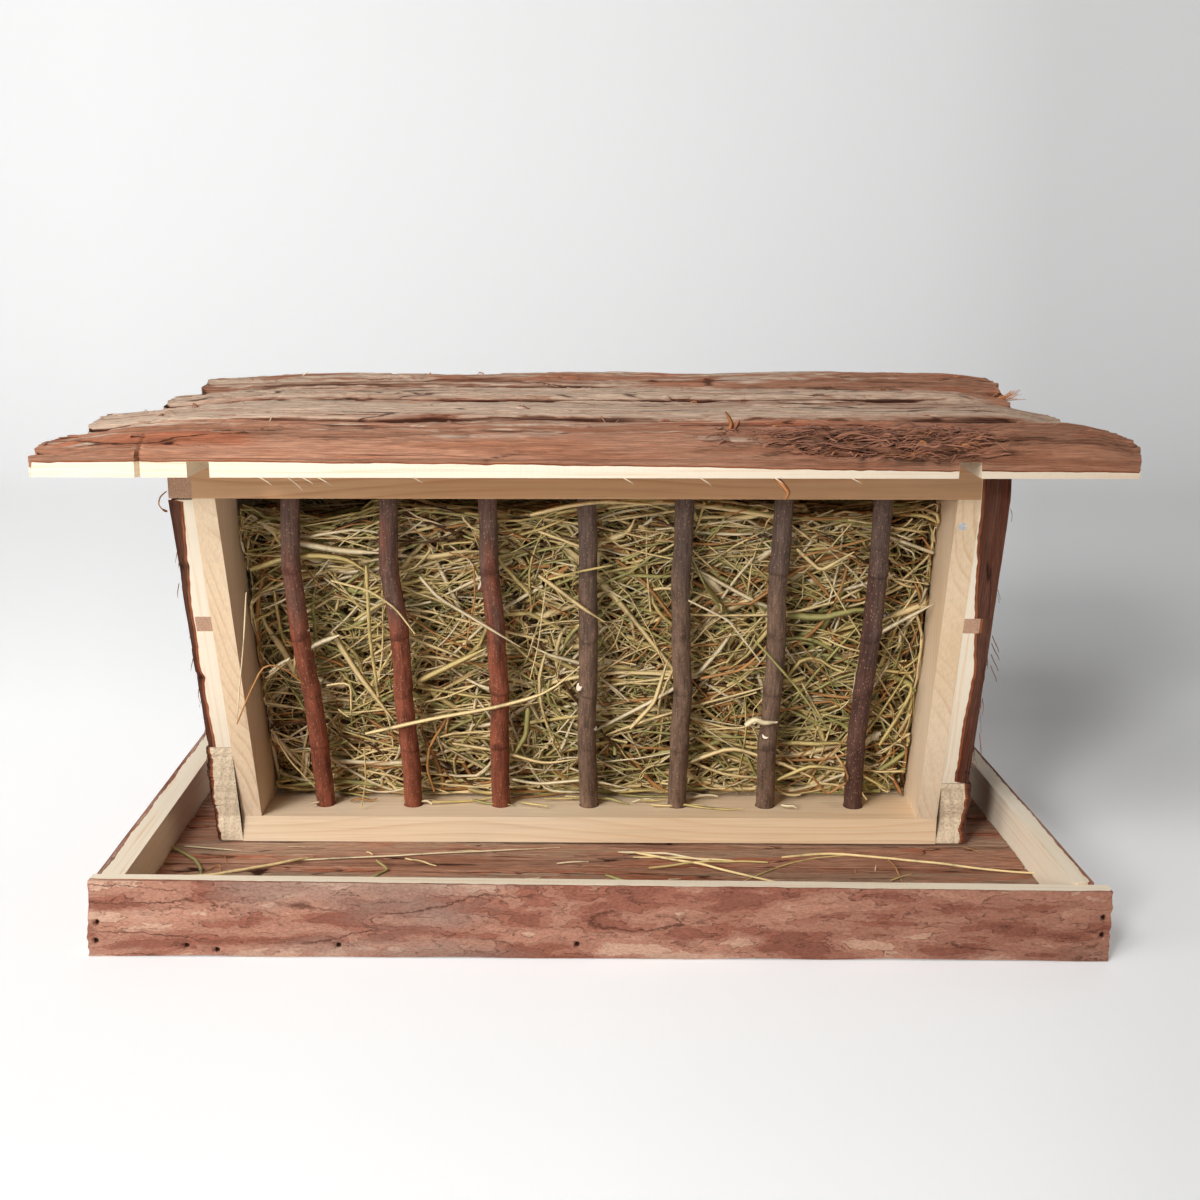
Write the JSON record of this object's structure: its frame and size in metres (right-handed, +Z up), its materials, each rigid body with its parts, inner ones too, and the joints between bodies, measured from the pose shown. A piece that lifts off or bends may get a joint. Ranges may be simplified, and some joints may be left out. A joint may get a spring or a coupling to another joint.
{
  "type": "hay feeder box",
  "caption": "Double-sided hay rack with leaning twig bars under a lift-off bark slab roof, standing in a low bark-edged tray for small pets.",
  "frame": {"origin": "on the ground, under the middle of the rack and roof", "axes": "+Z up, front faces -Y, +X to the right seen from the front"},
  "size_m": [0.618, 0.364, 0.323],
  "materials": {
    "roof_slab": "rough bark over sawn softwood",
    "planed_batten": "sawn",
    "twig": "smooth bark",
    "nail": "zinc plated",
    "hay": "dry loose stalks",
    "floor_plank": "rough bark",
    "side_slab": "rough bark over sawn softwood",
    "tray_board": "rough bark over sawn softwood",
    "planed_rail": "planed"
  },
  "bodies": {
    "root": {"bottom_rail_back": "planed_rail", "bottom_rail_front": "planed_rail", "cross_batten_left": "planed_batten", "cross_batten_right": "planed_batten", "floor_plank_1": "floor_plank", "floor_plank_2": "floor_plank", "floor_plank_3": "floor_plank", "floor_plank_4": "floor_plank", "frame_nails": "nail", "hay_fill": "hay", "lower_board_left": "side_slab", "lower_board_right": "side_slab", "post_back_left": "planed_rail", "post_back_right": "planed_rail", "post_front_left": "planed_rail", "post_front_right": "planed_rail", "side_slab_left_back": "side_slab", "side_slab_left_front": "side_slab", "side_slab_left_middle": "side_slab", "side_slab_right_back": "side_slab", "side_slab_right_front": "side_slab", "side_slab_right_middle": "side_slab", "side_top_batten_left": "planed_batten", "side_top_batten_right": "planed_batten", "tie_batten_left": "planed_batten", "tie_batten_right": "planed_batten", "top_rail_back": "planed_rail", "top_rail_front": "planed_rail", "tray_back_board": "tray_board", "tray_bearer_1": "planed_batten", "tray_bearer_2": "planed_batten", "tray_bearer_3": "planed_batten", "tray_front_board": "tray_board", "tray_left_board": "tray_board", "tray_nails": "nail", "tray_right_board": "tray_board", "twig_back_1": "twig", "twig_back_2": "twig", "twig_back_3": "twig", "twig_back_4": "twig", "twig_back_5": "twig", "twig_back_6": "twig", "twig_back_7": "twig", "twig_front_1": "twig", "twig_front_2": "twig", "twig_front_3": "twig", "twig_front_4": "twig", "twig_front_5": "twig", "twig_front_6": "twig", "twig_front_7": "twig"},
    "roof": {"roof_cleat_left": "planed_batten", "roof_cleat_right": "planed_batten", "roof_nails": "nail", "roof_slab_1": "roof_slab", "roof_slab_2": "roof_slab", "roof_slab_3": "roof_slab", "roof_slab_4": "roof_slab", "roof_stop_back": "planed_batten", "roof_stop_front": "planed_batten"}
  },
  "joints": [
    {"name": "roof_lift", "type": "slide", "parent": "root", "child": "roof", "axis": [0, 0, 1], "range_m": [0, 0.15]}
  ]
}
